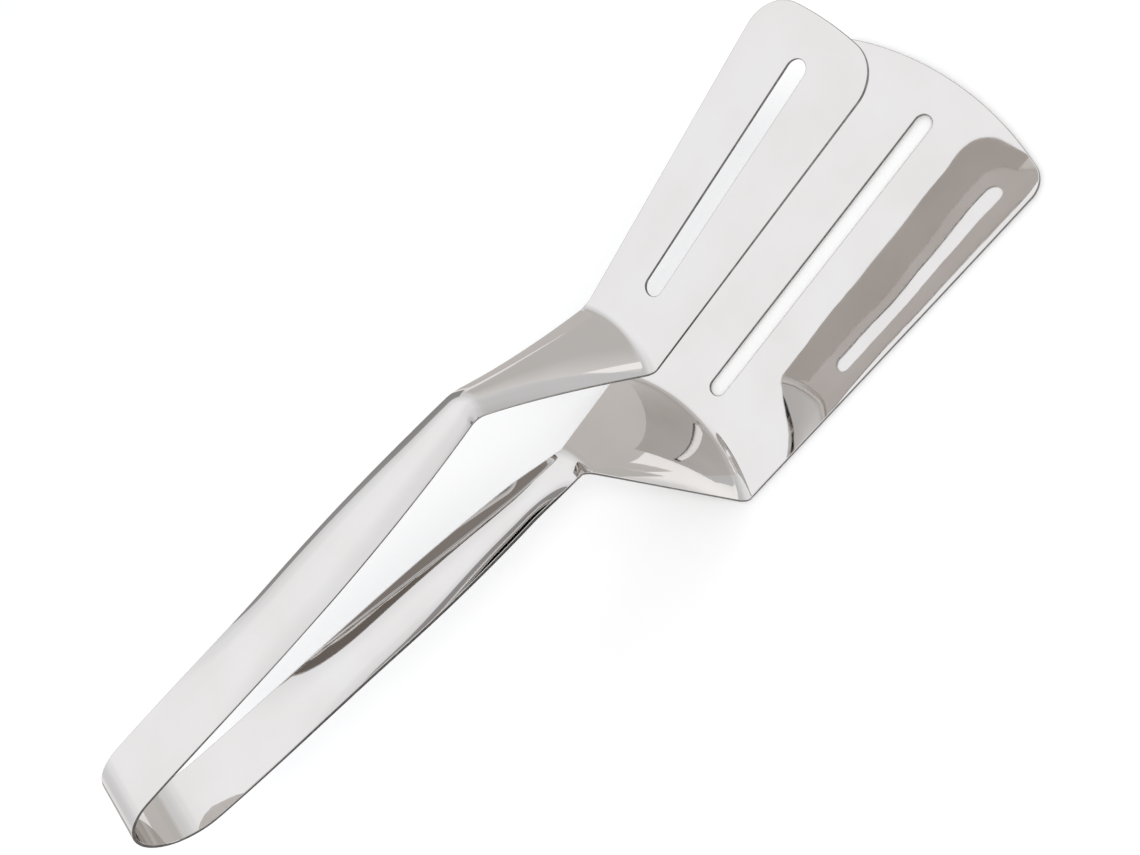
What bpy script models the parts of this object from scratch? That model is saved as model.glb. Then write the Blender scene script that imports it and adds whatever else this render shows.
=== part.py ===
# Barbecue tongs: two blades on one folded strip of polished steel sheet
import math

import bpy
from mathutils import Matrix, Vector

# Sheet, and the gap left where two regions of it meet
SHEET = 0.0010
SEAM_GAP = 0.0003

# Lower blade, measured forward from the ends of its heel fold
LOWER_BLADE_LENGTH = 0.1198
LOWER_HEEL_WIDTH = 0.0582
LOWER_TIP_WIDTH = 0.0758
LOWER_TIP_BULGE = 0.0074
LOWER_CORNER_RADIUS = 0.0069
LOWER_HEEL_BULGE = 0.0076
LOWER_SLOT_START = 0.0154
LOWER_SLOT_TIP_MARGIN = 0.0104

# Upper blade, measured the same way along its own face
UPPER_BLADE_LENGTH = 0.0890
UPPER_HEEL_WIDTH = 0.0279
UPPER_TIP_WIDTH = 0.0378
UPPER_TIP_BULGE = 0.0020
UPPER_CORNER_RADIUS = 0.0095
UPPER_HEEL_BULGE = 0.0032
UPPER_SLOT_START = 0.0139
UPPER_SLOT_TIP_MARGIN = 0.0100
UPPER_BLADE_TILT = math.radians(6.3)
UPPER_HEEL_AHEAD = 0.0216
UPPER_HEEL_LIFT = 0.0566

SLOT_WIDTH = 0.0053

# Necks, where each arm turns down into its shoulder
LOWER_NECK_BACK = 0.0142
LOWER_NECK_RISE = 0.0397
UPPER_NECK_BACK = 0.0265
UPPER_NECK_RISE = 0.0379
NECK_WIDTH = 0.0096
UPPER_NECK_ARCH = 0.0016
LOWER_NECK_ARCH = 0.0006
NECK_BEND = 0.0030
HEEL_BEND = 0.0024

# Arms, dished along their length and flat where they reach the bow; the lower one bends outward a little
ARM_MIDDLE_WIDTH = 0.0168
ARM_DISH = 0.0018
LOWER_ARM_BEND = 0.0028

# Spring bow at the handle end
BOW_RADIUS = 0.0146
BOW_WIDTH = 0.0174
BOW_CENTRE_BACK = 0.1284
BOW_CENTRE_HEIGHT = 0.1012
BOW_SPLIT_GAP = 0.0004

# How the shoulders and arms spread, and where the dish of an arm begins and fades
UPPER_SPREAD_POWER = 1.4
LOWER_SPREAD_POWER = 1.0
ARM_SPREAD_POWER = 1.95
DISH_FULL_SHARE = 0.15
DISH_FADE_SHARE = 0.55

# Counts of facets
ACROSS = 10
ARM_ROWS = 16
SHOULDER_ROWS = 8
BEND_ROWS = 5
BOW_STEPS = 14
CORNER_STEPS = 8
TIP_STEPS = 16
SLOT_END_STEPS = 10

BLADE_MIDDLE_HEIGHT = SHEET / 2
HEEL_X = (BOW_CENTRE_BACK + BOW_RADIUS + SHEET / 2 - LOWER_BLADE_LENGTH) / 2
BOW_CENTRE = Vector((HEEL_X - BOW_CENTRE_BACK, 0, BOW_CENTRE_HEIGHT))
LOWER_HEEL = Vector((HEEL_X, 0, BLADE_MIDDLE_HEIGHT))
UPPER_HEEL = LOWER_HEEL + Vector((UPPER_HEEL_AHEAD, 0, UPPER_HEEL_LIFT))
LOWER_NECK = LOWER_HEEL + Vector((-LOWER_NECK_BACK, 0, LOWER_NECK_RISE))
UPPER_NECK = UPPER_HEEL + Vector((-UPPER_NECK_BACK, 0, UPPER_NECK_RISE))


def heading(angle):
    """Unit vector in the X-Z plane at an angle up from +X."""
    return Vector((math.cos(angle), 0, math.sin(angle)))


def tangent_to_bow(start, side):
    """End and angle of the straight line from a point that meets the bow circle smoothly."""
    to_centre = BOW_CENTRE - start
    distance = to_centre.length
    # Angles near half a turn are counted up from zero, so that both arms' angles compare
    angle = math.atan2(to_centre.z, to_centre.x) % math.tau + side * math.asin(BOW_RADIUS / distance)
    reach = math.sqrt(distance ** 2 - BOW_RADIUS ** 2)
    return start + heading(angle) * reach, angle


def arm_course(neck, side, bend_out):
    """Neck, middle corner and bow end of an arm, and the angle at which it meets the bow."""
    straight_end, straight_angle = tangent_to_bow(neck, side)
    corner = neck.lerp(straight_end, 0.5) + heading(straight_angle + side * math.pi / 2) * bend_out
    end, angle = tangent_to_bow(corner, side)
    return (neck, corner, end), angle


LOWER_COURSE, LOWER_ARM_ANGLE = arm_course(LOWER_NECK, 1, LOWER_ARM_BEND)
UPPER_COURSE, UPPER_ARM_ANGLE = arm_course(UPPER_NECK, -1, 0)
# Angles round the bow's centre, from the upper arm back over the end to the lower arm
BOW_TOP_ANGLE = UPPER_ARM_ANGLE - math.pi / 2
BOW_BOTTOM_ANGLE = LOWER_ARM_ANGLE + math.pi / 2
BOW_MIDDLE_ANGLE = (BOW_TOP_ANGLE + BOW_BOTTOM_ANGLE) / 2
PIVOT = BOW_CENTRE + heading(BOW_MIDDLE_ANGLE) * BOW_RADIUS


def ramp(value):
    """Smooth step from 0 to 1."""
    value = max(0, min(1, value))
    return value * value * (3 - 2 * value)


def steel(name, shade):
    material = bpy.data.materials.new(name + "_steel")
    material.use_nodes = True
    shader = material.node_tree.nodes["Principled BSDF"]
    shader.inputs["Base Color"].default_value = (shade, shade, shade, 1)
    shader.inputs["Metallic"].default_value = 1
    shader.inputs["Roughness"].default_value = 0.12
    return material


def add_object(name, data, shade):
    part = bpy.data.objects.new(name, data)
    data.materials.append(steel(name, shade))
    TONGS.objects.link(part)
    return part


def thicken(part):
    """Give an open surface the thickness of the sheet, half to each side."""
    shell = part.modifiers.new("sheet", "SOLIDIFY")
    shell.thickness = SHEET
    shell.offset = 0
    shell.use_even_offset = True


def surface(name, rows, shade):
    """Sheet region from rows of points that all run the same way across it."""
    width = len(rows[0])
    points = [point for row in rows for point in row]
    faces = []
    for row in range(len(rows) - 1):
        for column in range(width - 1):
            corner = row * width + column
            faces.append((corner, corner + 1, corner + width + 1, corner + width))
    mesh = bpy.data.meshes.new(name)
    mesh.from_pydata(points, [], faces)
    part = add_object(name, mesh, shade)
    thicken(part)
    return part


SPREAD_SHARES = [2 * column / ACROSS - 1 for column in range(ACROSS + 1)]


def bend_point(start, corner, finish, share):
    """Point of a smooth bend that leaves start and arrives at finish along the lines of its corner."""
    return start.lerp(corner, share).lerp(corner.lerp(finish, share), share)


def arm_rows(course, side, neck_dish):
    """Arm that widens from its neck and is dished with its edges turned inward."""
    neck, corner, end = course
    reach = (end - neck).length
    first = (NECK_BEND + SEAM_GAP) / reach
    last = 1 - SEAM_GAP / 2 / reach
    rows = []
    for row in range(ARM_ROWS + 1):
        share = first + (last - first) * row / ARM_ROWS
        middle = bend_point(neck, corner, end, share)
        along = (corner - neck).lerp(end - corner, share).normalized()
        outward = Vector((-along.z, 0, along.x)) * side
        half = arm_half_width(share)
        dish = neck_dish + (ARM_DISH - neck_dish) * ramp(share / DISH_FULL_SHARE)
        dish *= 1 - ramp((share - DISH_FADE_SHARE) / (1 - DISH_FADE_SHARE))
        rows.append([middle + Vector((0, half * s, 0)) - outward * (dish * s * s) for s in SPREAD_SHARES])
    return rows


def arm_half_width(share):
    """Half width that spreads from the neck to the middle and runs on to the bow."""
    spread = 1 - max(0, 1 - 2 * share) ** ARM_SPREAD_POWER
    width = NECK_WIDTH + (ARM_MIDDLE_WIDTH - NECK_WIDTH) * spread
    return (width + (BOW_WIDTH - ARM_MIDDLE_WIDTH) * ramp(2 * share - 1)) / 2


def bend(start, corner, finish):
    return [bend_point(start, corner, finish, step / BEND_ROWS) for step in range(BEND_ROWS + 1)]


def shoulder_rows(course, heel, blade_along, heel_width, bulge, neck_arch, power):
    """Arched fan from the neck of an arm down to the curved heel fold of its blade."""
    neck, corner, arm_end = course
    arm_along = (corner - neck).normalized()
    down = (heel - neck).normalized()
    front = Vector((-down.z, 0, down.x))
    arm_front = Vector((arm_along.z, 0, -arm_along.x))
    mitre = (front + arm_front) / (1 + front.dot(arm_front))
    arm_half = arm_half_width(NECK_BEND / (arm_end - neck).length)
    columns = []
    for s in SPREAD_SHARES:
        arm_start = neck + arm_along * NECK_BEND - arm_front * (neck_arch * s * s)
        neck_fold = neck - mitre * (neck_arch * s * s)
        heel_fold = heel + blade_along * (bulge * (1 - s * s))
        blade_start = heel_fold + blade_along * HEEL_BEND
        run = heel_fold - neck_fold
        top = neck_fold + run.normalized() * NECK_BEND
        bottom = heel_fold - run.normalized() * HEEL_BEND
        points = bend(arm_start, neck_fold, top)
        for row in range(1, SHOULDER_ROWS):
            points.append(top.lerp(bottom, row / SHOULDER_ROWS))
        points += bend(bottom, heel_fold, blade_start)
        column = []
        for point in points:
            fallen = max(0, min(1, (point - neck).dot(down) / (heel - neck).length))
            beside = max(0, min(1, (point - neck).dot(arm_along) / NECK_BEND))
            half = NECK_WIDTH / 2 + (heel_width - NECK_WIDTH) / 2 * fallen ** power
            half += (arm_half - NECK_WIDTH / 2) * beside
            column.append(point + Vector((0, half * s, 0)))
        columns.append(column)
    return [list(row) for row in zip(*columns)]


def blade_outline(length, heel_width, tip_width, tip_bulge, corner_radius, heel_bulge):
    """Flat outline: bulged heel, sides that spread, rounded corners and a bulged tip."""
    heel_start = HEEL_BEND + SEAM_GAP
    outline = []
    for s in SPREAD_SHARES:
        outline.append(Vector((heel_start + heel_bulge * (1 - s * s), heel_width / 2 * s)))
    tip_radius = ((tip_width / 2) ** 2 + tip_bulge ** 2) / (2 * tip_bulge)
    tip_centre = Vector((length - tip_radius, 0))
    start = Vector((heel_start, heel_width / 2))
    side = (Vector((length, tip_width / 2)) - start).normalized()
    inward = Vector((side.y, -side.x))
    base = start + inward * corner_radius - tip_centre
    reach = tip_radius - corner_radius
    along = -base.dot(side) + math.sqrt(base.dot(side) ** 2 - base.length_squared + reach ** 2)
    corner_centre = tip_centre + base + side * along
    first = math.atan2(-inward.y, -inward.x)
    corner_direction = corner_centre - tip_centre
    second = math.atan2(corner_direction.y, corner_direction.x)
    edge = []
    for step in range(CORNER_STEPS + 1):
        angle = first + (second - first) * step / CORNER_STEPS
        edge.append(corner_centre + Vector((math.cos(angle), math.sin(angle))) * corner_radius)
    for step in range(1, TIP_STEPS // 2):
        angle = second * (1 - 2 * step / TIP_STEPS)
        edge.append(tip_centre + Vector((math.cos(angle), math.sin(angle))) * tip_radius)
    outline += edge
    outline.append(tip_centre + Vector((tip_radius, 0)))
    outline += [Vector((point.x, -point.y)) for point in reversed(edge)]
    return outline


def slot_outline(start, end):
    """Long hole with round ends along the middle of a blade."""
    radius = SLOT_WIDTH / 2
    outline = []
    for centre, turn in ((end - radius, -math.pi / 2), (start + radius, math.pi / 2)):
        for step in range(SLOT_END_STEPS + 1):
            angle = turn + math.pi * step / SLOT_END_STEPS
            outline.append(Vector((centre + radius * math.cos(angle), radius * math.sin(angle))))
    return outline


def blade(name, outlines, heel, tilt, shade):
    """Flat sheet cut to an outline with a slot through it."""
    curve = bpy.data.curves.new(name, "CURVE")
    curve.dimensions = "2D"
    curve.fill_mode = "BOTH"
    curve.extrude = SHEET / 2
    for outline in outlines:
        spline = curve.splines.new("POLY")
        spline.points.add(len(outline) - 1)
        for point, place in zip(spline.points, outline):
            point.co = (place.x, place.y, 0, 1)
        spline.use_cyclic_u = True
    part = add_object(name, curve, shade)
    part.location = heel
    part.rotation_euler = (0, -tilt, 0)
    return part


def bow_half(name, first, last, shade):
    """Half of the spring bow, turned round the bow's centre from its arm to the middle."""
    mesh = bpy.data.meshes.new(name)
    edge = heading(first) * BOW_RADIUS
    across = Vector((0, BOW_WIDTH / 2, 0))
    mesh.from_pydata([edge - across, edge + across], [(0, 1)], [])
    part = add_object(name, mesh, shade)
    part.location = BOW_CENTRE
    turned = part.modifiers.new("bow", "SCREW")
    turned.axis = "Y"
    turned.angle = first - last
    turned.steps = BOW_STEPS
    turned.render_steps = BOW_STEPS
    turned.use_merge_vertices = False
    thicken(part)
    return part


for leftover in list(bpy.data.objects):
    bpy.data.objects.remove(leftover)
TONGS = bpy.data.collections.new("barbecue_tongs")
bpy.context.scene.collection.children.link(TONGS)

lower_along = heading(0)
upper_along = heading(UPPER_BLADE_TILT)
seam_angle = SEAM_GAP / 2 / BOW_RADIUS
split_angle = BOW_SPLIT_GAP / 2 / BOW_RADIUS

blade("lower_blade", [
    blade_outline(LOWER_BLADE_LENGTH, LOWER_HEEL_WIDTH, LOWER_TIP_WIDTH, LOWER_TIP_BULGE,
                  LOWER_CORNER_RADIUS, LOWER_HEEL_BULGE),
    slot_outline(LOWER_SLOT_START, LOWER_BLADE_LENGTH - LOWER_SLOT_TIP_MARGIN)], LOWER_HEEL, 0, 0.62)
surface("lower_shoulder", shoulder_rows(
    LOWER_COURSE, LOWER_HEEL, lower_along, LOWER_HEEL_WIDTH,
    LOWER_HEEL_BULGE, LOWER_NECK_ARCH, LOWER_SPREAD_POWER), 0.50)
surface("lower_arm", arm_rows(LOWER_COURSE, 1, -LOWER_NECK_ARCH), 0.58)
bow_half("lower_bow", BOW_BOTTOM_ANGLE - seam_angle, BOW_MIDDLE_ANGLE + split_angle, 0.54)

pivot = bpy.data.objects.new("upper_pivot", None)
pivot.location = PIVOT
TONGS.objects.link(pivot)
moving = [
    bow_half("upper_bow", BOW_TOP_ANGLE + seam_angle, BOW_MIDDLE_ANGLE - split_angle, 0.56),
    surface("upper_arm", arm_rows(UPPER_COURSE, -1, UPPER_NECK_ARCH), 0.60),
    surface("upper_shoulder", shoulder_rows(
        UPPER_COURSE, UPPER_HEEL, upper_along, UPPER_HEEL_WIDTH,
        UPPER_HEEL_BULGE, UPPER_NECK_ARCH, UPPER_SPREAD_POWER), 0.52),
    blade("upper_blade", [
        blade_outline(UPPER_BLADE_LENGTH, UPPER_HEEL_WIDTH, UPPER_TIP_WIDTH, UPPER_TIP_BULGE,
                      UPPER_CORNER_RADIUS, UPPER_HEEL_BULGE),
        slot_outline(UPPER_SLOT_START, UPPER_BLADE_LENGTH - UPPER_SLOT_TIP_MARGIN)],
        UPPER_HEEL, UPPER_BLADE_TILT, 0.64),
]
for part in moving:
    part.parent = pivot
    part.matrix_parent_inverse = Matrix.Translation(-PIVOT)
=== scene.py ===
# Looks of the barbecue tongs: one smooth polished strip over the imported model, in a pale studio
import math

import bpy
import numpy as np
from mathutils import Matrix, Vector
from mathutils.geometry import delaunay_2d_cdt


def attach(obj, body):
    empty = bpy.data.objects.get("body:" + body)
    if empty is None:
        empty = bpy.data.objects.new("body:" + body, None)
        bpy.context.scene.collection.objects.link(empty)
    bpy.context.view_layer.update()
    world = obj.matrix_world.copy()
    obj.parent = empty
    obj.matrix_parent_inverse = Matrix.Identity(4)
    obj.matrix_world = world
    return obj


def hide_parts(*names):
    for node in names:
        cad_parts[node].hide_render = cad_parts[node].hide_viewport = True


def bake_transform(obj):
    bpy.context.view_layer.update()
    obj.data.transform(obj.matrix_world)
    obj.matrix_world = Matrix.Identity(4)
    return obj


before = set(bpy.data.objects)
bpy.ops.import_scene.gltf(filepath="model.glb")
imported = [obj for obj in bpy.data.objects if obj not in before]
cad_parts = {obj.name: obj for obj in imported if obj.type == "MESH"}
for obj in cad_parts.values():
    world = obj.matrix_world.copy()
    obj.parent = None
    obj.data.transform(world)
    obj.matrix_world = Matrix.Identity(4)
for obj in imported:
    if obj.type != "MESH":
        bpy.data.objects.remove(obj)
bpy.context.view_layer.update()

# Sheet
SHEET = 0.0010
EDGE_ROUND = 0.00028
EDGE_STEPS = 4
SLOPE_STEP = EDGE_ROUND / 2
WELD_DISTANCE = EDGE_ROUND / 1000

# Lower blade, measured forward from the ends of its heel fold
LOWER_BLADE_LENGTH = 0.1198
LOWER_HEEL_WIDTH = 0.0582
LOWER_TIP_WIDTH = 0.0758
LOWER_TIP_BULGE = 0.0074
LOWER_CORNER_RADIUS = 0.0069
LOWER_HEEL_BULGE = 0.0076
LOWER_SLOT_START = 0.0154
LOWER_SLOT_TIP_MARGIN = 0.0104

# Upper blade, measured the same way along its own face
UPPER_BLADE_LENGTH = 0.0890
UPPER_HEEL_WIDTH = 0.0279
UPPER_TIP_WIDTH = 0.0378
UPPER_TIP_BULGE = 0.0020
UPPER_CORNER_RADIUS = 0.0095
UPPER_HEEL_BULGE = 0.0032
UPPER_SLOT_START = 0.0139
UPPER_SLOT_TIP_MARGIN = 0.0100
UPPER_BLADE_TILT = math.radians(6.3)
UPPER_HEEL_AHEAD = 0.0216
UPPER_HEEL_LIFT = 0.0566

SLOT_WIDTH = 0.0053

# Necks, arms and bow
LOWER_NECK_BACK = 0.0142
LOWER_NECK_RISE = 0.0397
UPPER_NECK_BACK = 0.0265
UPPER_NECK_RISE = 0.0379
NECK_WIDTH = 0.0096
UPPER_NECK_ARCH = 0.0016
LOWER_NECK_ARCH = 0.0006
NECK_BEND = 0.0030
HEEL_BEND = 0.0024
ARM_MIDDLE_WIDTH = 0.0168
ARM_DISH = 0.0018
LOWER_ARM_BEND = 0.0028
BOW_RADIUS = 0.0146
BOW_WIDTH = 0.0174
BOW_CENTRE_BACK = 0.1284
BOW_CENTRE_HEIGHT = 0.1012
UPPER_SPREAD_POWER = 1.4
LOWER_SPREAD_POWER = 1.0
ARM_SPREAD_POWER = 1.95
DISH_FULL_SHARE = 0.15
DISH_FADE_SHARE = 0.55

# Slight unevenness of the pressed blades (size, waves along and across, phase), and how soon past the
# heel fold it is there in full
LOWER_WAVES = ((0.000016, 150, 60, 0.4), (0.000011, 90, -190, 1.9), (0.000007, 330, 120, 3.0))
UPPER_WAVES = ((0.00002, 170, 90, 1.1), (0.000015, 60, -240, 0.2))
RIPPLE_RISE = 0.012

# Columns of the smooth meshes, as places across the strip from one edge (-1) to the other (1)
ACROSS = 28
SPREAD = [2 * column / ACROSS - 1 for column in range(ACROSS + 1)]

# Rows and steps of the smooth meshes, a blade's cell size, and the way its outline is filled
HEEL_ROWS = 14
SHOULDER_ROWS = 44
NECK_ROWS = 14
ARM_ROWS = 110
BOW_ROWS = 40
CORNER_STEPS = 24
TIP_STEPS = 60
SIDE_STEPS = 40
SLOT_END_STEPS = 28
BLADE_CELL = 0.0022
INSIDE_ONLY = 1

# Steel, and its unpolished cut edges. A noise is its stretch along the axes, its scale and its detail
TONE_RANGE = (0.35, 0.65)
ROUGHNESS_RANGE = (0.3, 0.7)
EVEN = (1, 1, 1)
STEEL_DARK = (0.697, 0.670, 0.648, 1)
STEEL_LIGHT = (0.727, 0.704, 0.685, 1)
TONE_NOISE = (EVEN, 45, 3)
SMEAR_NOISE = (EVEN, 70, 4)
SMEAR_ROUGHNESS = (0.014, 0.032)
LINE_NOISE = ((0.05, 1, 0.05), 2600, 2)
LINE_ROUGHNESS = (0, 0.018)
DENT_NOISE = (EVEN, 220, 1)
DENT_STRENGTH = 0.2
DENT_DEPTH = 0.00002
CUT_DARK = (0.15, 0.145, 0.14, 1)
CUT_LIGHT = (0.24, 0.23, 0.22, 1)
CUT_NOISE = (EVEN, 900, 2)
CUT_ROUGHNESS = 0.38

# How the polished lower blade rises to its tip, and how much further its faces seem to turn up along
# the tip and down along the long edges
TIP_RISE_START = 0.060
TIP_RISE = 0.0005
TIP_TURN = math.radians(3.6)
SIDE_ROLL_WIDTH = 0.007
SIDE_ROLL = math.radians(6)

# How much steeper the walls of the lower grip's groove look than its section: lean, the shares across
# between which it builds up, and the shares of the arm, from the neck, over which the wall narrows away
GROOVE_START = (-0.03, 0.03)
GROOVE_NEAR_WALL = (0.32, 0.10, 1, 0.20, 0.62)
GROOVE_FAR_WALL = (0.72, 0.45, 0.70, 0.10, 0.88)

# Camera, fitted to the photo together with the sizes
IMAGE_WIDTH = 1140
FOCAL_PIXELS = 1390.06
SENSOR_WIDTH = 36
CAMERA_PLACE = (0.10408, -0.17984, 0.34169)
CAMERA_RIGHT = Vector((0.57728, -0.59333, -0.56100))
CAMERA_UP = Vector((0.76902, 0.62603, 0.12923))

# Floor
FLOOR_REACH = 20
FLOOR_DROP = 0.00005
FLOOR_WHITE = (0.91, 0.90, 0.885, 1)

# Dome: shades by elevation in degrees, the mix node's colour sockets, and patches that dim the dome
# around a bearing and an elevation (shades by degrees away)
DOME_STOPS = ((0, 0.80), (14, 0.84), (20, 0.90), (30, 1.02), (42, 1.14), (60, 1.16))
DOME_TINT = (0.977, 0.995, 1.025)
MIX_FIRST = 6
MIX_SECOND = 7
MIX_RESULT = 2
ROOM_BEARING = -61.5
ROOM_ELEVATION = 55
PATCHES = (
    (ROOM_BEARING, ROOM_ELEVATION, ((0, 0.25), (5, 0.3), (8, 0.8), (20, 1))),
    (ROOM_BEARING, 30, ((0, 0.74), (30, 0.78), (52, 0.88), (80, 1))),
)

# Boards seen only in the steel. Upright ones: name, bearing, width, low and high edge in degrees,
# distance, shades below and above. Lying ones are grey sheets on the floor, painted floor shade that
# only the reflections show: name, x and y of two corners, shade
CARD_CENTRE = (0.03, 0, 0.05)
FADE_START = 0.6
CARDS = (
    ("front_wall", 28, 70, -8, 18, 0.36, (0.64, 0.63, 0.62, 1), (0.84, 0.84, 0.84, 1)),
    ("front_reflector", -1.5, 6, 8, 16, 0.34, (1.16, 1.16, 1.16, 1), (1.16, 1.16, 1.16, 1)),
    ("far_wall", 104, 64, -6, 23, 0.5, (0.34, 0.335, 0.34, 1), (0.38, 0.375, 0.38, 1)),
    ("room_board", -76, 80, -4, 46, 0.6, (0.27, 0.245, 0.23, 1), (0.32, 0.295, 0.28, 1)),
)
# Painted floor shade: grey sheets on the floor round the object that darken it in the reflections only
PAINTED_FLOOR_SHADE = (
    ("side_floor_shade", -0.030, 0.029, 0.420, 0.350, (0.67, 0.65, 0.635, 1)),
    ("front_floor_shade", 0.250, -0.020, 0.430, 0.029, (0.67, 0.65, 0.635, 1)),
    ("near_floor_shade", -0.160, -0.300, 0.040, -0.038, (0.24, 0.22, 0.205, 1)),
    ("back_floor_shade", -0.600, -0.200, -0.170, 0.200, (0.50, 0.49, 0.48, 1)),
)

# Key lamp, which stands over the darkest patch of the dome
KEY_DISTANCE = 1.2
KEY_SIZE = 0.5
KEY_POWER = 5

# Main points of the side view, with the heel fold placed so that the object is centred along x
HEEL_X = (BOW_CENTRE_BACK + BOW_RADIUS + SHEET / 2 - LOWER_BLADE_LENGTH) / 2
BOW_CENTRE = Vector((HEEL_X - BOW_CENTRE_BACK, 0, BOW_CENTRE_HEIGHT))
LOWER_HEEL = Vector((HEEL_X, 0, SHEET / 2))
UPPER_HEEL = LOWER_HEEL + Vector((UPPER_HEEL_AHEAD, 0, UPPER_HEEL_LIFT))
LOWER_NECK = LOWER_HEEL + Vector((-LOWER_NECK_BACK, 0, LOWER_NECK_RISE))
UPPER_NECK = UPPER_HEEL + Vector((-UPPER_NECK_BACK, 0, UPPER_NECK_RISE))


def heading(angle):
    """Direction in the side view, at an angle above +X."""
    return Vector((math.cos(angle), 0, math.sin(angle)))


def tangent_to_bow(start, side):
    """Where a straight arm from start touches the bow, and its angle."""
    to_centre = BOW_CENTRE - start
    distance = to_centre.length
    angle = math.atan2(to_centre.z, to_centre.x) % math.tau + side * math.asin(BOW_RADIUS / distance)
    return start + heading(angle) * math.sqrt(distance ** 2 - BOW_RADIUS ** 2), angle


def arm_course(neck, side, bend_out):
    """Neck, middle corner and bow end of an arm, and the angle at which it meets the bow."""
    straight_end, straight_angle = tangent_to_bow(neck, side)
    corner = neck.lerp(straight_end, 0.5) + heading(straight_angle + side * math.pi / 2) * bend_out
    end, angle = tangent_to_bow(corner, side)
    return (neck, corner, end), angle


LOWER_COURSE, LOWER_ARM_ANGLE = arm_course(LOWER_NECK, 1, LOWER_ARM_BEND)
UPPER_COURSE, UPPER_ARM_ANGLE = arm_course(UPPER_NECK, -1, 0)
BOW_TOP_ANGLE = UPPER_ARM_ANGLE - math.pi / 2
BOW_BOTTOM_ANGLE = LOWER_ARM_ANGLE + math.pi / 2


def ramp(value):
    """Smooth step from 0 to 1."""
    value = max(0, min(1, value))
    return value * value * (3 - 2 * value)


def arm_half_width(share):
    """Half width of an arm, from the neck at share 0 to the bow at 1."""
    spread = 1 - max(0, 1 - 2 * share) ** ARM_SPREAD_POWER
    width = NECK_WIDTH + (ARM_MIDDLE_WIDTH - NECK_WIDTH) * spread
    return (width + (BOW_WIDTH - ARM_MIDDLE_WIDTH) * ramp(2 * share - 1)) / 2


def bend_point(start, corner, finish, share):
    """Point on the smooth bend that touches both legs of a corner."""
    return start.lerp(corner, share).lerp(corner.lerp(finish, share), share)


def arm_rows(course, side, neck_dish):
    """Rows of the arm's middle surface, from the bow to the neck."""
    neck, corner, end = course
    last = NECK_BEND / (end - neck).length
    rows = []
    for row in range(ARM_ROWS + 1):
        share = 1 + (last - 1) * row / ARM_ROWS
        middle = bend_point(neck, corner, end, share)
        along = (corner - neck).lerp(end - corner, share).normalized()
        outward = Vector((-along.z, 0, along.x)) * side
        dish = neck_dish + (ARM_DISH - neck_dish) * ramp(share / DISH_FULL_SHARE)
        dish *= 1 - ramp((share - DISH_FADE_SHARE) / (1 - DISH_FADE_SHARE))
        half = arm_half_width(share)
        rows.append([middle + Vector((0, half * s, 0)) - outward * (dish * s * s) for s in SPREAD])
    return rows


def bend(start, corner, finish, rows):
    """Points along a smooth bend, both ends included."""
    return [bend_point(start, corner, finish, k / rows) for k in range(rows + 1)]


def shoulder_rows(course, heel, blade_along, heel_width, bulge, neck_arch, power):
    """Rows of a shoulder's middle surface, from the neck to the blade."""
    neck, corner, arm_end = course
    arm_along = (corner - neck).normalized()
    down = (heel - neck).normalized()
    front = Vector((-down.z, 0, down.x))
    arm_front = Vector((arm_along.z, 0, -arm_along.x))
    mitre = (front + arm_front) / (1 + front.dot(arm_front))
    arm_half = arm_half_width(NECK_BEND / (arm_end - neck).length)
    columns = []
    for s in SPREAD:
        arm_start = neck + arm_along * NECK_BEND - arm_front * (neck_arch * s * s)
        neck_fold = neck - mitre * (neck_arch * s * s)
        heel_fold = heel + blade_along * (bulge * (1 - s * s))
        blade_start = heel_fold + blade_along * HEEL_BEND
        run = (heel_fold - neck_fold).normalized()
        top = neck_fold + run * NECK_BEND
        bottom = heel_fold - run * HEEL_BEND
        points = bend(arm_start, neck_fold, top, NECK_ROWS)
        points += [top.lerp(bottom, k / SHOULDER_ROWS) for k in range(1, SHOULDER_ROWS)]
        points += bend(bottom, heel_fold, blade_start, HEEL_ROWS)
        column = []
        for point in points:
            fallen = max(0, min(1, (point - neck).dot(down) / (heel - neck).length))
            beside = max(0, min(1, (point - neck).dot(arm_along) / NECK_BEND))
            half = NECK_WIDTH / 2 + (heel_width - NECK_WIDTH) / 2 * fallen ** power
            half += (arm_half - NECK_WIDTH / 2) * beside
            column.append(point + Vector((0, half * s, 0)))
        columns.append(column)
    return [list(row) for row in zip(*columns)]


def bow_rows():
    """Rows of the bow's middle surface, from the upper arm round to the lower arm."""
    rows = []
    for row in range(2 * BOW_ROWS + 1):
        share = row / (2 * BOW_ROWS)
        middle = BOW_CENTRE + heading(BOW_TOP_ANGLE * (1 - share) + BOW_BOTTOM_ANGLE * share) * BOW_RADIUS
        rows.append([middle + Vector((0, BOW_WIDTH / 2 * s, 0)) for s in SPREAD])
    return rows


lower_along = heading(0)
upper_along = heading(UPPER_BLADE_TILT)
upper_shoulder = shoulder_rows(UPPER_COURSE, UPPER_HEEL, upper_along, UPPER_HEEL_WIDTH,
                               UPPER_HEEL_BULGE, UPPER_NECK_ARCH, UPPER_SPREAD_POWER)
upper_arm = arm_rows(UPPER_COURSE, -1, UPPER_NECK_ARCH)
lower_arm = arm_rows(LOWER_COURSE, 1, -LOWER_NECK_ARCH)
lower_shoulder = shoulder_rows(LOWER_COURSE, LOWER_HEEL, lower_along, LOWER_HEEL_WIDTH,
                               LOWER_HEEL_BULGE, LOWER_NECK_ARCH, LOWER_SPREAD_POWER)

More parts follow.
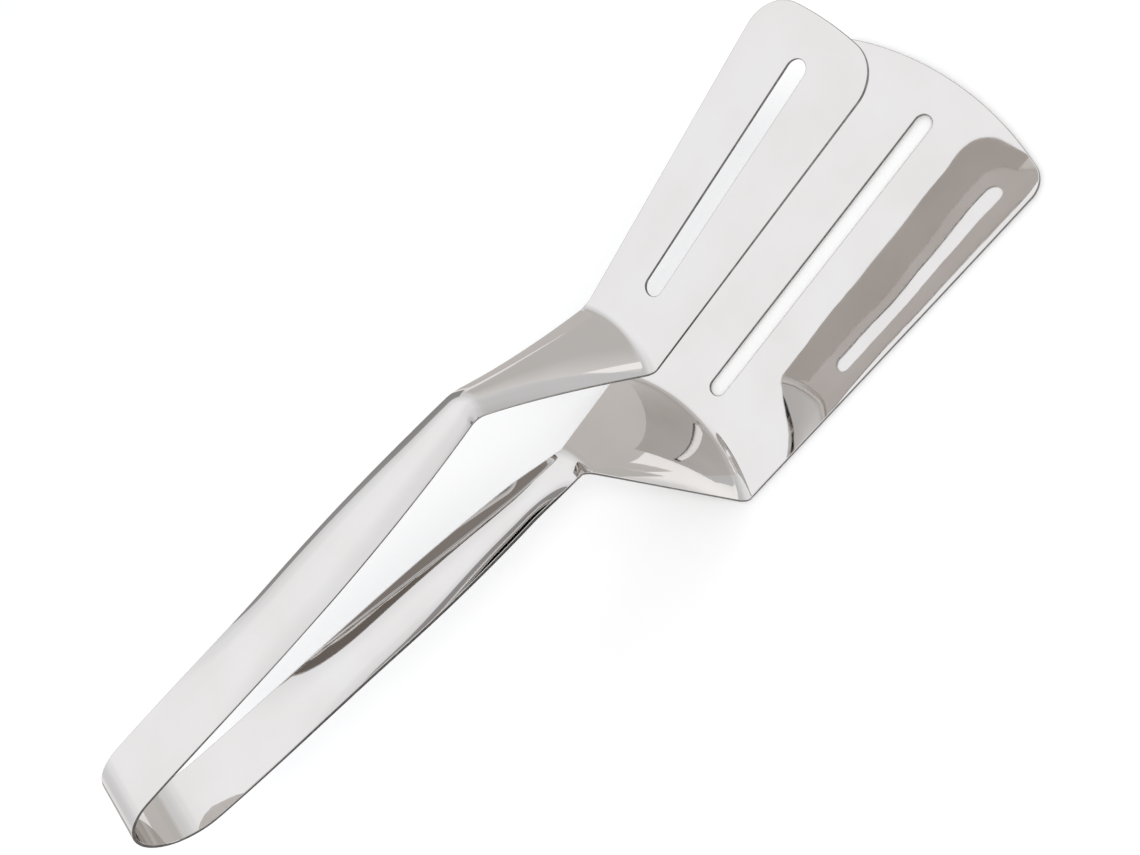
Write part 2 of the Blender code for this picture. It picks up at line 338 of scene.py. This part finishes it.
# The whole strip as one run of rows, from the upper blade round the bow to the lower blade
runs = [("upper_shoulder", upper_shoulder[::-1]), ("upper_arm", upper_arm[::-1]),
        ("upper_bow", bow_rows()[:BOW_ROWS + 1]), ("lower_bow", bow_rows()[BOW_ROWS:]),
        ("lower_arm", lower_arm), ("lower_shoulder", lower_shoulder)]
spans = {}
strip = []
for name, rows in runs:
    first = max(0, len(strip) - 1)
    strip += rows if not strip else rows[1:]
    spans[name] = (first, len(strip))
strip = np.array([[list(point) for point in row] for row in strip])


def unit(vectors):
    """The same vectors at length 1."""
    return vectors / np.linalg.norm(vectors, axis=-1, keepdims=True)


def tangents(points, axis):
    """Unit tangents along one axis of a grid, each weighted to its nearer neighbour."""
    points = np.moveaxis(points, axis, 0)
    steps = np.diff(points, axis=0)
    lengths = np.linalg.norm(steps, axis=-1, keepdims=True)
    headings = steps / lengths
    result = np.empty_like(points)
    result[0], result[-1] = headings[0], headings[-1]
    share = lengths[1:] / (lengths[:-1] + lengths[1:])
    result[1:-1] = headings[:-1] * share + headings[1:] * (1 - share)
    return np.moveaxis(unit(result), 0, axis)


across = tangents(strip, 1)
normals = unit(np.cross(across, tangents(strip, 0)))
normals[0] = np.array(Vector((-upper_along.z, 0, upper_along.x)))
normals[-1] = (0, 0, -1)

# Shading follows the sheet, but for the walls of the lower grip's groove
shading = normals.copy()
arm_first, arm_last = spans["lower_arm"]
for row in range(arm_first, arm_last):
    share = (arm_last - 1 - row) / ARM_ROWS
    started = ramp((share - GROOVE_START[0]) / (GROOVE_START[1] - GROOVE_START[0]))
    for column, s in enumerate(SPREAD):
        lean, foot, crest, narrow_from, gone_by = GROOVE_FAR_WALL if s > 0 else GROOVE_NEAR_WALL
        narrowed = (1 - foot) * ramp((share - narrow_from) / (gone_by - narrow_from))
        lean *= started * ramp((abs(s) - foot - narrowed) / (crest - foot))
        shading[row, column] += across[row, column] * math.copysign(lean, s)
shading = unit(shading)


def add_mesh(name, points, faces, corner_normals, cut_faces):
    """Mesh with its own normals; the faces numbered in cut_faces are the cut edge of the sheet."""
    mesh = bpy.data.meshes.new(name)
    mesh.from_pydata([tuple(point) for point in points], [], faces)
    for number in cut_faces:
        mesh.polygons[number].material_index = 1
    mesh.polygons.foreach_set("use_smooth", [True] * len(faces))
    mesh.normals_split_custom_set([tuple(normal) for normal in corner_normals])
    piece = bpy.data.objects.new(name + "_sheet", mesh)
    bpy.context.scene.collection.objects.link(piece)
    return piece


def flat_normal(corners):
    """Normal of a flat face, from its area."""
    turned = Vector((0, 0, 0))
    for k in range(1, len(corners) - 1):
        turned += (corners[k] - corners[0]).cross(corners[k + 1] - corners[0])
    return turned.normalized()


def rim_angles():
    """Angles round a cut edge from the face's normal, each with the side of the sheet it belongs to."""
    quarter = [math.pi / 2 * k / EDGE_STEPS for k in range(1, EDGE_STEPS + 1)]
    return [(angle, 1) for angle in quarter] + [(math.pi - angle, -1) for angle in reversed(quarter)]


RIM = rim_angles()


def strip_piece(name):
    """Closed sheet with rounded long edges from one span of the strip."""
    first, last = spans[name]
    middle, normal, side = strip[first:last], normals[first:last], across[first:last]
    shade = shading[first:last]
    width = middle.shape[1]
    inner = middle.copy()
    inner[:, 0] += side[:, 0] * EDGE_ROUND
    inner[:, -1] -= side[:, -1] * EDGE_ROUND
    lift = SHEET / 2
    rings, ring_normals = [], []
    for row in range(len(middle)):
        ring = [inner[row, c] + normal[row, c] * lift for c in range(width)]
        facing = [shade[row, c] for c in range(width)]
        for angle, face in RIM:
            out = side[row, -1] * math.sin(angle) + normal[row, -1] * math.cos(angle)
            ring.append(inner[row, -1] + normal[row, -1] * (face * (lift - EDGE_ROUND)) + out * EDGE_ROUND)
            facing.append(out)
        ring += [inner[row, c] - normal[row, c] * lift for c in reversed(range(width))]
        facing += [-shade[row, c] for c in reversed(range(width))]
        for angle, face in RIM:
            out = -side[row, 0] * math.sin(angle) - normal[row, 0] * math.cos(angle)
            ring.append(inner[row, 0] - normal[row, 0] * (face * (lift - EDGE_ROUND)) + out * EDGE_ROUND)
            facing.append(out)
        rings.append(ring)
        ring_normals.append(facing)
    size = len(rings[0])
    points = [point for ring in rings for point in ring]
    facing = [way for ring in ring_normals for way in ring]
    faces, corner_normals, cut_faces = [], [], []
    rim = len(RIM)
    cut_columns = [k for start in (width - 1, 2 * width + rim - 1)
                   for k in range(start + EDGE_STEPS // 2, start + rim + 1 - EDGE_STEPS // 2)]
    for row in range(len(rings) - 1):
        for k in range(size):
            a, b = row * size + k, row * size + (k + 1) % size
            face = (a, b, b + size, a + size)
            if k in cut_columns:
                cut_faces.append(len(faces))
            faces.append(face)
            corner_normals += [facing[corner] for corner in face]
    for row, flip in ((0, True), (len(rings) - 1, False)):
        base = row * size
        caps = [(base + c, base + c + 1, base + 2 * width + rim - 2 - c, base + 2 * width + rim - 1 - c)
                for c in range(width - 1)]
        caps.append(tuple(base + width - 1 + k for k in range(rim + 2)))
        caps.append(tuple(base + (2 * width + rim - 1 + k) % size for k in range(rim + 2)))
        for cap in caps:
            face = cap[::-1] if flip else cap
            corners = [Vector(points[corner]) for corner in face]
            faces.append(face)
            corner_normals += [flat_normal(corners)] * len(face)
    return add_mesh(name, points, faces, corner_normals, cut_faces)


def blade_outline(length, heel_width, tip_width, tip_bulge, corner_radius, heel_bulge):
    """Outline points with their outward directions, which the heel points that join the shoulder lack."""
    outline = [(Vector((HEEL_BEND + heel_bulge * (1 - s * s), heel_width / 2 * s)), None) for s in SPREAD]
    for k, turn in ((0, -1), (ACROSS, 1)):
        outline[k] = (outline[k][0], Vector((-2 * heel_bulge, turn * heel_width / 2)).normalized())
    tip_radius = ((tip_width / 2) ** 2 + tip_bulge ** 2) / (2 * tip_bulge)
    tip_centre = Vector((length - tip_radius, 0))
    start = Vector((HEEL_BEND, heel_width / 2))
    side = (Vector((length, tip_width / 2)) - start).normalized()
    outward = Vector((-side.y, side.x))
    base = start - outward * corner_radius - tip_centre
    reach = tip_radius - corner_radius
    along = -base.dot(side) + math.sqrt(base.dot(side) ** 2 - base.length_squared + reach ** 2)
    corner_centre = tip_centre + base + side * along
    first = math.atan2(outward.y, outward.x)
    second = math.atan2(corner_centre.y - tip_centre.y, corner_centre.x - tip_centre.x)
    edge = []
    corner_start = corner_centre + outward * corner_radius
    for step in range(1, SIDE_STEPS):
        edge.append((start.lerp(corner_start, step / SIDE_STEPS), outward))
    for step in range(CORNER_STEPS + 1):
        turn = first + (second - first) * step / CORNER_STEPS
        out = Vector((math.cos(turn), math.sin(turn)))
        edge.append((corner_centre + out * corner_radius, out))
    for step in range(1, TIP_STEPS // 2):
        turn = second * (1 - 2 * step / TIP_STEPS)
        out = Vector((math.cos(turn), math.sin(turn)))
        edge.append((tip_centre + out * tip_radius, out))
    outline += edge
    outline.append((tip_centre + Vector((tip_radius, 0)), Vector((1, 0))))
    outline += [(Vector((p.x, -p.y)), Vector((o.x, -o.y))) for p, o in reversed(edge)]
    return outline


def slot_outline(start, end):
    """Slot points with directions out of the metal, into the hole."""
    radius = SLOT_WIDTH / 2
    outline = []
    for centre, turn in ((end - radius, -math.pi / 2), (start + radius, math.pi / 2)):
        for step in range(SLOT_END_STEPS + 1):
            angle = turn + math.pi * step / SLOT_END_STEPS
            out = Vector((math.cos(angle), math.sin(angle)))
            outline.append((Vector((centre, 0)) + out * radius, -out))
        other = start + radius if centre > start + radius else end - radius
        for step in range(1, SIDE_STEPS):
            share = step / SIDE_STEPS
            outline.append((Vector((centre * (1 - share) + other * share, radius * out.y)), -out))
    return outline


def ripple(x, y, waves, calm_until):
    """Height of the slight unevenness that pressing leaves in flat sheet, none at the heel."""
    height = 0
    for size, wave_x, wave_y, phase in waves:
        height += size * math.sin(wave_x * x + wave_y * y + phase)
    return height * ramp((x - calm_until) / RIPPLE_RISE)


def lower_form(x, y):
    """Rise of the lower blade's tip, and how far its faces lean along and across."""
    share = max(0, (x - TIP_RISE_START) / (LOWER_BLADE_LENGTH - TIP_RISE_START))
    half = (LOWER_HEEL_WIDTH + (LOWER_TIP_WIDTH - LOWER_HEEL_WIDTH) * x / LOWER_BLADE_LENGTH) / 2
    inside = max(0, 1 - (half - abs(y)) / SIDE_ROLL_WIDTH)
    settled = ramp(x / TIP_RISE_START)
    return TIP_RISE * share ** 2, TIP_TURN * share, -math.copysign(SIDE_ROLL * inside ** 2 * settled, y)


def level_form(x, y):
    """Form of a blade that is flat all over."""
    return 0, 0, 0


def blade_piece(name, outline, slot, heel, tilt, waves, form):
    """Closed blade with rounded cut edges, its heel run left square to meet the shoulder."""
    loops, flat = [], []
    for loop in (outline, slot):
        loops.append(list(range(len(flat), len(flat) + len(loop))))
        flat += [point - out * EDGE_ROUND if out else point for point, out in loop]
    edges = [(loop[k - 1], loop[k]) for loop in loops for k in range(len(loop))]
    boundary = np.array([tuple(point) for point in flat])
    low_x, high_x = boundary[:, 0].min(), boundary[:, 0].max()
    high_y = boundary[:, 1].max()
    columns = math.ceil((high_x - low_x) / BLADE_CELL)
    half_rows = math.ceil(high_y / BLADE_CELL)
    slot_low, slot_high = boundary[loops[1]].min(axis=0)[0], boundary[loops[1]].max(axis=0)[0]
    for column in range(1, columns):
        for row in range(-half_rows, half_rows + 1):
            x, y = low_x + (high_x - low_x) * column / columns, high_y * row / half_rows
            in_slot = slot_low < x < slot_high and abs(y) < SLOT_WIDTH / 2
            near = np.min(np.sum((boundary - (x, y)) ** 2, axis=1)) < (BLADE_CELL / 2) ** 2
            if not in_slot and not near:
                flat.append(Vector((x, y)))
    made = delaunay_2d_cdt(flat, edges, loops, INSIDE_ONLY, WELD_DISTANCE)
    spots, faces_2d, sources = made[0], made[2], made[3]
    number = {}
    for index, source in enumerate(sources):
        for original in source:
            number[original] = index
    hole = {number[k] for k in loops[1]}
    faces_2d = [face for face in faces_2d if not hole.issuperset(face)]
    kept = sorted({corner for face in faces_2d for corner in face})
    place = {corner: k for k, corner in enumerate(kept)}
    across_way, along_way = Vector((0, 1, 0)), heading(tilt)
    up_way = Vector((-along_way.z, 0, along_way.x))
    calm = max(point.x for point, out in outline[:ACROSS + 1])
    points, facing = [], []

    def ground(x, y, lift):
        return heel + along_way * x + across_way * y + up_way * lift

    def height(x, y, uneven):
        return uneven * ripple(x, y, waves, calm) + form(x, y)[0]

    def slope(x, y, uneven):
        step = SLOPE_STEP
        rise_x = (height(x + step, y, uneven) - height(x - step, y, uneven)) / (2 * step) + form(x, y)[1]
        rise_y = (height(x, y + step, uneven) - height(x, y - step, uneven)) / (2 * step) + form(x, y)[2]
        return (up_way - along_way * rise_x - across_way * rise_y).normalized()

    for face_side, uneven in ((1, 1), (-1, 0)):
        for corner in kept:
            x, y = spots[corner]
            points.append(ground(x, y, face_side * SHEET / 2 + height(x, y, uneven)))
            facing.append(slope(x, y, uneven) * face_side)
    below = len(kept)
    faces, corner_normals = [], []
    for face in faces_2d:
        a, b, c = [place[corner] for corner in face]
        turn = (spots[face[1]] - spots[face[0]]).cross(spots[face[2]] - spots[face[0]])
        top = (a, b, c) if turn > 0 else (a, c, b)
        faces += [top, tuple(corner + below for corner in top[::-1])]
    chains = []
    for loop, loop_points in zip(loops, (outline, slot)):
        chain_run = []
        for k, (point, out) in zip(loop, loop_points):
            top = place[number[k]]
            chain = [top]
            if out:
                outward = along_way * out.x + across_way * out.y
                for angle, face_side in RIM:
                    turned = outward * math.sin(angle) + up_way * math.cos(angle)
                    base = points[top if face_side > 0 else top + below]
                    points.append(base - up_way * (face_side * EDGE_ROUND) + turned * EDGE_ROUND)
                    facing.append(turned)
                    chain.append(len(points) - 1)
            chain.append(top + below)
            chain_run.append(chain)
        chains.append(chain_run)
    rim_faces, caps, cut_faces = [], [], []
    for run_index, chain_run in enumerate(chains):
        for k, chain in enumerate(chain_run):
            after = chain_run[(k + 1) % len(chain_run)]
            if run_index == 0 and k < ACROSS:
                caps.append((chain[0], after[0], after[-1], chain[-1]))
                continue
            for step in range(len(chain) - 1):
                if EDGE_STEPS // 2 <= step <= len(RIM) - EDGE_STEPS // 2:
                    cut_faces.append(len(faces) + len(rim_faces))
                rim_faces.append((chain[step], after[step], after[step + 1], chain[step + 1]))
    caps += [tuple(chains[0][0][::-1]), tuple(chains[0][ACROSS])]
    faces += rim_faces
    for face in faces:
        corner_normals += [facing[corner] for corner in face]
    for cap in caps:
        faces.append(cap)
        corner_normals += [flat_normal([points[corner] for corner in cap])] * len(cap)
    return add_mesh(name, points, faces, corner_normals, cut_faces)


lower_blade = blade_piece(
    "lower_blade",
    blade_outline(LOWER_BLADE_LENGTH, LOWER_HEEL_WIDTH, LOWER_TIP_WIDTH, LOWER_TIP_BULGE,
                  LOWER_CORNER_RADIUS, LOWER_HEEL_BULGE),
    slot_outline(LOWER_SLOT_START, LOWER_BLADE_LENGTH - LOWER_SLOT_TIP_MARGIN),
    LOWER_HEEL, 0, LOWER_WAVES, lower_form)
upper_blade = blade_piece(
    "upper_blade",
    blade_outline(UPPER_BLADE_LENGTH, UPPER_HEEL_WIDTH, UPPER_TIP_WIDTH, UPPER_TIP_BULGE,
                  UPPER_CORNER_RADIUS, UPPER_HEEL_BULGE),
    slot_outline(UPPER_SLOT_START, UPPER_BLADE_LENGTH - UPPER_SLOT_TIP_MARGIN),
    UPPER_HEEL, UPPER_BLADE_TILT, UPPER_WAVES, level_form)


def link(tree, start, start_socket, end, end_socket):
    tree.links.new(start.outputs[start_socket], end.inputs[end_socket])


def noise(tree, stretch, scale, detail):
    """Noise in the object's own space."""
    place = tree.nodes.new("ShaderNodeTexCoord")
    fit = tree.nodes.new("ShaderNodeMapping")
    fit.inputs["Scale"].default_value = stretch
    texture = tree.nodes.new("ShaderNodeTexNoise")
    texture.inputs["Scale"].default_value = scale
    texture.inputs["Detail"].default_value = detail
    link(tree, place, "Object", fit, "Vector")
    link(tree, fit, "Vector", texture, "Vector")
    return texture


def tone(tree, source, dark, light):
    """Colour between two shades of one metal."""
    tint = tree.nodes.new("ShaderNodeValToRGB")
    for element, position, shade in zip(tint.color_ramp.elements, TONE_RANGE, (dark, light)):
        element.position = position
        element.color = shade
    link(tree, source, "Fac", tint, "Fac")
    return tint


def roughness(tree, source, reach):
    """Roughness between two values."""
    fit = tree.nodes.new("ShaderNodeMapRange")
    fit.inputs["From Min"].default_value, fit.inputs["From Max"].default_value = ROUGHNESS_RANGE
    fit.inputs["To Min"].default_value, fit.inputs["To Max"].default_value = reach
    link(tree, source, "Fac", fit, "Value")
    return fit


def new_metal(name):
    """Bare metal, with its node tree and its shader."""
    material = bpy.data.materials.new(name)
    material.use_nodes = True
    shader = material.node_tree.nodes["Principled BSDF"]
    shader.inputs["Metallic"].default_value = 1
    return material, material.node_tree, shader


def polished_steel():
    """Mirror-polished steel with faint polishing lines, wiped patches and slight unevenness."""
    material, tree, shader = new_metal("polished_steel")
    tint = tone(tree, noise(tree, *TONE_NOISE), STEEL_DARK, STEEL_LIGHT)
    link(tree, tint, "Color", shader, "Base Color")
    smears = roughness(tree, noise(tree, *SMEAR_NOISE), SMEAR_ROUGHNESS)
    lines = roughness(tree, noise(tree, *LINE_NOISE), LINE_ROUGHNESS)
    total = tree.nodes.new("ShaderNodeMath")
    link(tree, smears, "Result", total, 0)
    link(tree, lines, "Result", total, 1)
    link(tree, total, "Value", shader, "Roughness")
    dents = tree.nodes.new("ShaderNodeBump")
    dents.inputs["Strength"].default_value = DENT_STRENGTH
    dents.inputs["Distance"].default_value = DENT_DEPTH
    link(tree, noise(tree, *DENT_NOISE), "Fac", dents, "Height")
    link(tree, dents, "Normal", shader, "Normal")
    return material


def cut_edge():
    """Dull grey of the cut edges, finely grained."""
    material, tree, shader = new_metal("cut_edge")
    shader.inputs["Roughness"].default_value = CUT_ROUGHNESS
    tint = tone(tree, noise(tree, *CUT_NOISE), CUT_DARK, CUT_LIGHT)
    link(tree, tint, "Color", shader, "Base Color")
    return material


steel = polished_steel()
edge_steel = cut_edge()
pieces = {name: strip_piece(name) for name in spans}
pieces["lower_blade"] = lower_blade
pieces["upper_blade"] = upper_blade
for name, piece in pieces.items():
    piece.data.materials.append(steel)
    piece.data.materials.append(edge_steel)
    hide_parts(name)
    if name.endswith("bow"):
        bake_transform(piece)
    else:
        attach(piece, "upper_half" if name.startswith("upper") else "lower_half")

# Camera
camera_data = bpy.data.cameras.new("camera")
camera = bpy.data.objects.new("camera", camera_data)
bpy.context.scene.collection.objects.link(camera)
camera_data.sensor_width = SENSOR_WIDTH
camera_data.lens = FOCAL_PIXELS / IMAGE_WIDTH * SENSOR_WIDTH
camera_turn = Matrix((CAMERA_RIGHT, CAMERA_UP, CAMERA_RIGHT.cross(CAMERA_UP))).transposed()
camera.matrix_world = Matrix.Translation(CAMERA_PLACE) @ camera_turn.to_4x4()
bpy.context.scene.camera = camera

# Studio
floor_mesh = bpy.data.meshes.new("floor")
floor_mesh.from_pydata([(-FLOOR_REACH, -FLOOR_REACH, 0), (FLOOR_REACH, -FLOOR_REACH, 0),
                        (FLOOR_REACH, FLOOR_REACH, 0), (-FLOOR_REACH, FLOOR_REACH, 0)], [], [(0, 1, 2, 3)])
floor = bpy.data.objects.new("floor", floor_mesh)
floor.location.z = -FLOOR_DROP
bpy.context.scene.collection.objects.link(floor)
floor_material = bpy.data.materials.new("floor")
floor_material.use_nodes = True
floor_shader = floor_material.node_tree.nodes["Principled BSDF"]
floor_shader.inputs["Base Color"].default_value = FLOOR_WHITE
floor_shader.inputs["Roughness"].default_value = 1
floor_shader.inputs["Specular IOR Level"].default_value = 0
floor_mesh.materials.append(floor_material)


def direction(bearing, elevation):
    """Unit vector at a bearing and an elevation in degrees."""
    level = math.cos(math.radians(elevation))
    return Vector((level * math.cos(math.radians(bearing)), level * math.sin(math.radians(bearing)),
                   math.sin(math.radians(elevation))))


def fill_ramp(ramp_node, stops, tint):
    """Colour ramp from (position, shade) stops, lowest position first."""
    ramp_node.color_ramp.interpolation = "EASE"
    while len(ramp_node.color_ramp.elements) < len(stops):
        ramp_node.color_ramp.elements.new(1)
    for element, (position, shade) in zip(ramp_node.color_ramp.elements, stops):
        element.position = position
        element.color = (shade * tint[0], shade * tint[1], shade * tint[2], 1)


def soft_dome():
    """Bright ceiling that fades to a grey wall, dimmer towards the room behind the camera."""
    world = bpy.data.worlds.new("studio")
    world.use_nodes = True
    tree = world.node_tree
    place = tree.nodes.new("ShaderNodeTexCoord")
    split = tree.nodes.new("ShaderNodeSeparateXYZ")
    link(tree, place, "Generated", split, "Vector")
    fade = tree.nodes.new("ShaderNodeValToRGB")
    heights = [(math.sin(math.radians(elevation)), shade) for elevation, shade in DOME_STOPS]
    fill_ramp(fade, heights, DOME_TINT)
    link(tree, split, "Z", fade, "Fac")
    glow = fade.outputs["Color"]
    for bearing, elevation, stops in PATCHES:
        aim = tree.nodes.new("ShaderNodeVectorMath")
        aim.operation = "DOT_PRODUCT"
        aim.inputs[1].default_value = direction(bearing, elevation)
        link(tree, place, "Generated", aim, 0)
        dim = tree.nodes.new("ShaderNodeValToRGB")
        cosines = [(math.cos(math.radians(away)), shade) for away, shade in reversed(stops)]
        fill_ramp(dim, cosines, (1, 1, 1))
        link(tree, aim, "Value", dim, "Fac")
        blend = tree.nodes.new("ShaderNodeMix")
        blend.data_type = "RGBA"
        blend.blend_type = "MULTIPLY"
        blend.inputs["Factor"].default_value = 1
        tree.links.new(glow, blend.inputs[MIX_FIRST])
        tree.links.new(dim.outputs["Color"], blend.inputs[MIX_SECOND])
        glow = blend.outputs[MIX_RESULT]
    tree.links.new(glow, tree.nodes["Background"].inputs["Color"])
    tree.nodes["Background"].inputs["Strength"].default_value = 1
    return world


bpy.context.scene.world = soft_dome()


def card(name, corners, place, low_shade, high_shade):
    """Glowing board that fades upwards, seen only in the polished faces."""
    mesh = bpy.data.meshes.new(name)
    mesh.from_pydata(corners, [], [(0, 1, 2, 3)])
    board = bpy.data.objects.new(name, mesh)
    board.matrix_world = place
    bpy.context.scene.collection.objects.link(board)
    material = bpy.data.materials.new(name)
    material.use_nodes = True
    tree = material.node_tree
    tree.nodes.remove(tree.nodes["Principled BSDF"])
    glow = tree.nodes.new("ShaderNodeEmission")
    where = tree.nodes.new("ShaderNodeTexCoord")
    split = tree.nodes.new("ShaderNodeSeparateXYZ")
    fade = tree.nodes.new("ShaderNodeValToRGB")
    fade.color_ramp.elements[0].position = FADE_START
    fade.color_ramp.elements[0].color = low_shade
    fade.color_ramp.elements[1].color = high_shade
    link(tree, where, "Generated", split, "Vector")
    link(tree, split, "Z", fade, "Fac")
    link(tree, fade, "Color", glow, "Color")
    link(tree, glow, "Emission", tree.nodes["Material Output"], "Surface")
    mesh.materials.append(material)
    board.visible_camera = False
    board.visible_diffuse = False
    board.visible_shadow = False


def upright_card(name, bearing, width_angle, low, high, distance, low_shade, high_shade):
    """Upright board at a bearing from the object."""
    half = distance * math.tan(math.radians(width_angle / 2))
    bottom = distance * math.tan(math.radians(low))
    top = distance * math.tan(math.radians(high))
    corners = [(0, -half, bottom), (0, half, bottom), (0, half, top), (0, -half, top)]
    turn = Matrix.Rotation(math.radians(bearing), 4, "Z")
    place = Matrix.Translation(CARD_CENTRE) @ turn @ Matrix.Translation((distance, 0, 0))
    card(name, corners, place, low_shade, high_shade)


for card_values in CARDS:
    upright_card(*card_values)
# Lying sheets of painted floor shade, seen only in the steel
for name, low_x, low_y, high_x, high_y, shade in PAINTED_FLOOR_SHADE:
    corners = [(low_x, low_y, 0), (high_x, low_y, 0), (high_x, high_y, 0), (low_x, high_y, 0)]
    card(name, corners, Matrix(), shade, shade)


def key_light():
    """Soft lamp above the camera, so that the shadows fall behind the object."""
    data = bpy.data.lights.new("key", "AREA")
    data.shape = "DISK"
    data.size = KEY_SIZE
    data.energy = KEY_POWER
    lamp = bpy.data.objects.new("key", data)
    way = direction(ROOM_BEARING, ROOM_ELEVATION)
    lamp.location = Vector(CARD_CENTRE) + way * KEY_DISTANCE
    lamp.rotation_euler = way.to_track_quat("Z", "Y").to_euler()
    lamp.visible_glossy = False
    bpy.context.scene.collection.objects.link(lamp)


key_light()
bpy.context.scene.view_settings.view_transform = "Standard"
